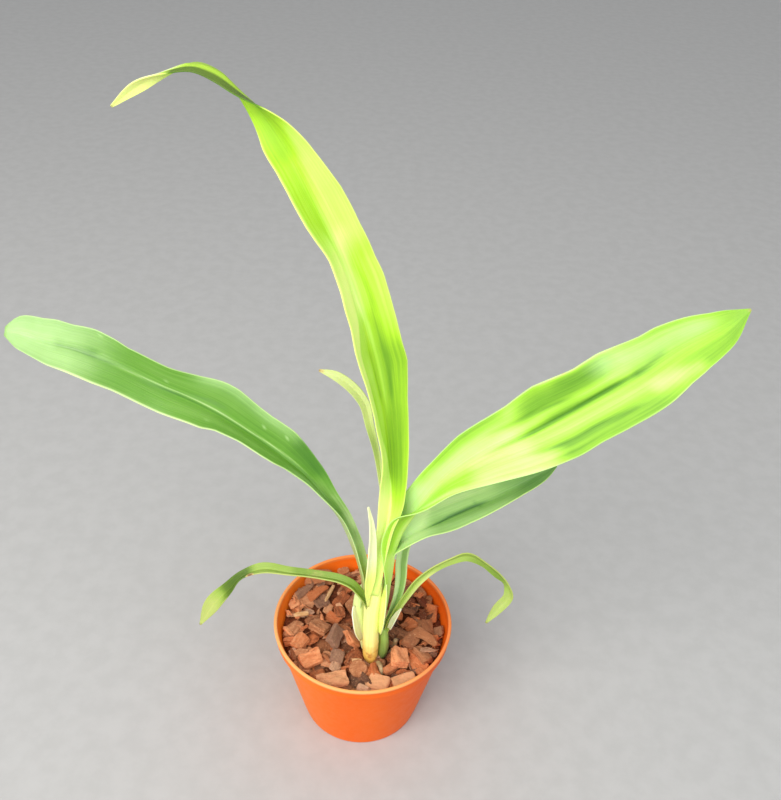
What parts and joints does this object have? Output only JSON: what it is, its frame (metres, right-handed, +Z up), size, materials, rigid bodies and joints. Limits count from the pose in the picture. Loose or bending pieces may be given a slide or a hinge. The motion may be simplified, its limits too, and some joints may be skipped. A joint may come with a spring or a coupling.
{
  "type": "potted orchid",
  "caption": "Young orchid plant with broad arching strap leaves and pale sheaths, standing in bark chips in a small round terracotta-coloured plastic pot.",
  "frame": {"origin": "centre of the pot's round foot, on the surface that the pot stands on, which is also the middle of the whole plant's outline seen from above, to about 2 mm", "axes": "+Z up along the pot's axis; +X to the right, towards the broad right-hand leaf; -Y towards the front"},
  "size_m": [0.2992, 0.09, 0.3324],
  "materials": {
    "pot": "satin",
    "bark": "rough",
    "root": "matt",
    "stem": "satin",
    "bulb": "satin",
    "leaf_bright": "satin",
    "leaf_mid": "satin",
    "leaf_blue": "satin",
    "papery": "matt"
  },
  "bodies": {
    "root": {"pot": "pot", "bark_bed": "bark", "rhizome_roots": "root", "pseudostem": "stem", "back_bulb": "papery", "side_bulb": "bulb", "leaf_tall": "leaf_bright", "leaf_right": "leaf_bright", "leaf_right_low": "leaf_blue", "leaf_left": "leaf_mid", "leaf_low_left": "leaf_mid", "leaf_low_right": "leaf_mid", "leaf_inner": "leaf_bright", "side_leaf": "leaf_blue", "upper_bract": "papery", "lower_bract": "stem", "torn_sheath": "papery", "dry_scale": "papery"}
  },
  "joints": []
}
